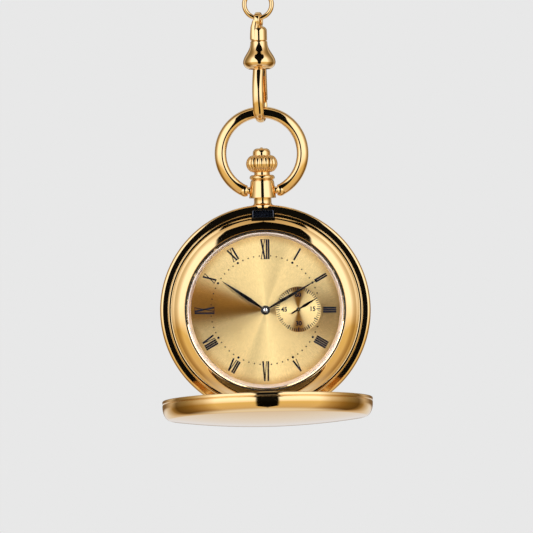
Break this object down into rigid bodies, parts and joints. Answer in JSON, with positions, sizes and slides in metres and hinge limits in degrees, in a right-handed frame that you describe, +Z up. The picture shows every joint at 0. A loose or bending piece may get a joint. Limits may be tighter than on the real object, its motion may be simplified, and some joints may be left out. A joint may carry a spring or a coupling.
{
  "type": "hunter-case mechanical pocket watch",
  "caption": "Round hinged-lid pocket watch with roman dial and small seconds, hanging by its bow from a swivel clasp and chain ring.",
  "frame": {"origin": "centre of the chain ring that the watch hangs from", "axes": "+X to the right of the dial, +Y through the watch from the dial to its back, +Z up to the crown and the chain"},
  "size_m": [0.052, 0.0588, 0.1085],
  "materials": {
    "polished_gold": "mirror-polished yellow gold plate",
    "polished_steel": "polished steel",
    "dark_steel": "dark polished steel",
    "pendant_brass": "turned brass",
    "crystal_glass": "clear polished mineral glass",
    "gasket": "black sealing ring",
    "rehaut_silver": "polished pale ring",
    "dial_gold": "sunburst-brushed gold",
    "black_hands": "black lacquer over steel",
    "blued_steel": "blued steel",
    "plate_nickel": "nickel-plated brass with stripes",
    "ruby": "polished synthetic ruby",
    "wheel_brass": "gilt brass"
  },
  "bodies": {
    "ring": {"chain_ring": "polished_gold"},
    "eye": {"swivel_eye": "polished_gold"},
    "hook": {"swivel_bell": "polished_gold", "clasp_hook": "polished_gold", "clasp_gate_pin": "polished_steel", "clasp_spring": "polished_steel"},
    "gate": {"clasp_gate": "polished_gold"},
    "bow": {"bow": "polished_gold"},
    "case": {"case_middle": "polished_gold", "bow_pins": "polished_steel", "pendant": "polished_gold", "pendant_sleeve": "pendant_brass", "crown_spring": "polished_steel", "rear_cover": "polished_gold", "bezel": "polished_gold", "crystal_gasket": "gasket", "crystal": "crystal_glass", "rehaut_ring": "rehaut_silver", "lid_hinge_pin": "polished_steel", "lid_lift_spring": "polished_steel", "movement_ring": "polished_steel", "case_screws": "blued_steel", "dial": "dial_gold", "seconds_subdial": "dial_gold", "mainplate": "plate_nickel", "barrel_bridge": "plate_nickel", "train_bridge": "plate_nickel", "balance_cock": "plate_nickel", "pallet_bridge": "plate_nickel", "bridge_screws": "blued_steel", "jewels": "ruby", "hairspring": "blued_steel"},
    "lid": {"hunter_lid": "polished_gold"},
    "catch": {"lid_catch": "dark_steel"},
    "winding": {"winding_pinion": "polished_steel"},
    "stem": {"winding_stem": "polished_steel"},
    "crown": {"crown": "polished_gold"},
    "clutch": {"sliding_pinion": "polished_steel"},
    "lever": {"setting_lever": "polished_steel"},
    "yoke": {"yoke": "polished_steel"},
    "ratchet": {"ratchet_wheel": "polished_steel", "barrel_arbor": "polished_steel"},
    "crown_wheel": {"crown_wheel": "polished_steel"},
    "click": {"click": "polished_steel"},
    "click_spring": {"click_spring": "polished_steel"},
    "barrel": {"barrel": "wheel_brass", "mainspring": "blued_steel"},
    "centre": {"centre_wheel": "wheel_brass", "cannon_pinion": "polished_steel", "minute_hand": "black_hands"},
    "hour": {"hour_wheel": "wheel_brass", "hour_hand": "black_hands"},
    "minute_wheel": {"minute_wheel": "wheel_brass"},
    "setting_wheel": {"setting_wheel": "polished_steel"},
    "third": {"third_wheel": "wheel_brass"},
    "fourth": {"fourth_wheel": "wheel_brass", "seconds_hand": "black_hands"},
    "escape": {"escape_wheel": "wheel_brass"},
    "pallets": {"pallet_fork": "polished_steel"},
    "balance": {"balance_wheel": "wheel_brass"}
  },
  "joints": [
    {"name": "eye_swing", "type": "hinge", "parent": "ring", "child": "eye", "pos_m": [0, 0, -0.00337], "axis": [1, 0, 0], "range_deg": [-60, 60]},
    {"name": "hook_swivel", "type": "hinge", "parent": "eye", "child": "hook", "pos_m": [0, 0, -0.00912], "axis": [0, 0, 1], "continuous": true},
    {"name": "gate_press", "type": "hinge", "parent": "hook", "child": "gate", "pos_m": [0.00031, 0.00147, -0.01517], "axis": [-0.9781, 0.2079, 0], "range_deg": [0, 20], "stiffness_Nm_per_rad": 0.002, "springref_deg": -17.19},
    {"name": "bow_swing", "type": "hinge", "parent": "hook", "child": "bow", "pos_m": [0, 0, -0.02874], "axis": [0.2079, 0.9781, 0], "range_deg": [-25, 25]},
    {"name": "case_swing", "type": "hinge", "parent": "bow", "child": "case", "pos_m": [0, 0, -0.04603], "axis": [1, 0, 0], "range_deg": [-80, 80]},
    {"name": "lid_hinge", "type": "hinge", "parent": "case", "child": "lid", "pos_m": [0, -0.0041, -0.10083], "axis": [1, 0, 0], "range_deg": [-83.5, 0], "stiffness_Nm_per_rad": 0.003, "springref_deg": 28.65},
    {"name": "catch_draw", "type": "slide", "parent": "case", "child": "catch", "axis": [0, 0, 1], "range_m": [-0.0006, 0]},
    {"name": "winding_spin", "type": "hinge", "parent": "case", "child": "winding", "pos_m": [0, 0, -0.06068], "axis": [0, 0, 1], "continuous": true},
    {"name": "stem_pull", "type": "slide", "parent": "winding", "child": "stem", "axis": [0, 0, 1], "range_m": [0, 0.0009]},
    {"name": "crown_push", "type": "slide", "parent": "stem", "child": "crown", "axis": [0, 0, 1], "range_m": [-0.0006, 0], "stiffness_N_per_m": 800, "springref_m": 0.002, "deforming": ["crown_spring"]},
    {"name": "clutch_slide", "type": "slide", "parent": "winding", "child": "clutch", "axis": [0, 0, 1], "range_m": [-0.0007, 0]},
    {"name": "lever_turn", "type": "hinge", "parent": "case", "child": "lever", "pos_m": [0.0032, -0.00118, -0.05862], "axis": [0, 1, 0], "range_deg": [0, 16.3]},
    {"name": "yoke_turn", "type": "hinge", "parent": "case", "child": "yoke", "pos_m": [-0.0046, -0.00118, -0.06163], "axis": [0, 1, 0], "range_deg": [0, 11.6]},
    {"name": "ratchet_spin", "type": "hinge", "parent": "case", "child": "ratchet", "pos_m": [-0.00598, 0.00235, -0.06952], "axis": [0, 1, 0], "continuous": true},
    {"name": "crown_wheel_spin", "type": "hinge", "parent": "case", "child": "crown_wheel", "pos_m": [0, 0.00235, -0.06335], "axis": [0, 1, 0], "continuous": true},
    {"name": "click_lift", "type": "hinge", "parent": "case", "child": "click", "pos_m": [-0.0126, 0.00235, -0.07043], "axis": [0, -1, 0], "range_deg": [0, 10], "stiffness_Nm_per_rad": 0.0001, "springref_deg": -17.19},
    {"name": "click_spring_bend", "type": "hinge", "parent": "case", "child": "click_spring", "pos_m": [-0.0123, 0.00235, -0.07473], "axis": [0, 1, 0], "range_deg": [0, 9]},
    {"name": "centre_spin", "type": "hinge", "parent": "case", "child": "centre", "pos_m": [0, 0, -0.07563], "axis": [0, 1, 0], "continuous": true},
    {"name": "hour_spin", "type": "hinge", "parent": "case", "child": "hour", "pos_m": [0, -0.002, -0.07563], "axis": [0, 1, 0], "continuous": true},
    {"name": "minute_wheel_spin", "type": "hinge", "parent": "case", "child": "minute_wheel", "pos_m": [0, -0.0011, -0.07263], "axis": [0, 1, 0], "continuous": true},
    {"name": "setting_wheel_spin", "type": "hinge", "parent": "case", "child": "setting_wheel", "pos_m": [0, -0.0011, -0.06663], "axis": [0, 1, 0], "continuous": true},
    {"name": "barrel_spin", "type": "hinge", "parent": "case", "child": "barrel", "pos_m": [-0.00598, 0, -0.06952], "axis": [0, 1, 0], "continuous": true},
    {"name": "third_spin", "type": "hinge", "parent": "case", "child": "third", "pos_m": [0.00456, 0, -0.07197], "axis": [0, 1, 0], "continuous": true},
    {"name": "fourth_spin", "type": "hinge", "parent": "case", "child": "fourth", "pos_m": [0.0081, 0, -0.07563], "axis": [0, 1, 0], "continuous": true},
    {"name": "escape_spin", "type": "hinge", "parent": "case", "child": "escape", "pos_m": [0.00657, 0, -0.07976], "axis": [0, 1, 0], "continuous": true},
    {"name": "pallet_rock", "type": "hinge", "parent": "case", "child": "pallets", "pos_m": [0.00434, 0, -0.08233], "axis": [0, 1, 0], "range_deg": [-5, 5]},
    {"name": "balance_swing", "type": "hinge", "parent": "case", "child": "balance", "pos_m": [0.00147, 0, -0.08566], "axis": [0, 1, 0], "range_deg": [-270, 270], "stiffness_Nm_per_rad": 0.0000005}
  ],
  "couplings": [
    {"joint": "hour_spin", "follows": "centre_spin", "ratio": 0.083333},
    {"joint": "minute_wheel_spin", "follows": "centre_spin", "ratio": -0.33333},
    {"joint": "setting_wheel_spin", "follows": "centre_spin", "ratio": 0.2},
    {"joint": "barrel_spin", "follows": "centre_spin", "ratio": -0.125},
    {"joint": "third_spin", "follows": "centre_spin", "ratio": -8},
    {"joint": "fourth_spin", "follows": "centre_spin", "ratio": 60},
    {"joint": "escape_spin", "follows": "centre_spin", "ratio": -600},
    {"joint": "crown_wheel_spin", "follows": "ratchet_spin", "ratio": -1.6875},
    {"joint": "winding_spin", "follows": "ratchet_spin", "ratio": 3.1765},
    {"joint": "catch_draw", "follows": "crown_push", "ratio": 1},
    {"joint": "clutch_slide", "follows": "stem_pull", "ratio": -0.77778},
    {"joint": "lever_turn", "follows": "stem_pull", "rad_per_m": 315.32},
    {"joint": "yoke_turn", "follows": "stem_pull", "rad_per_m": 224.35},
    {"joint": "click_spring_bend", "follows": "click_lift", "ratio": 0.85}
  ]
}
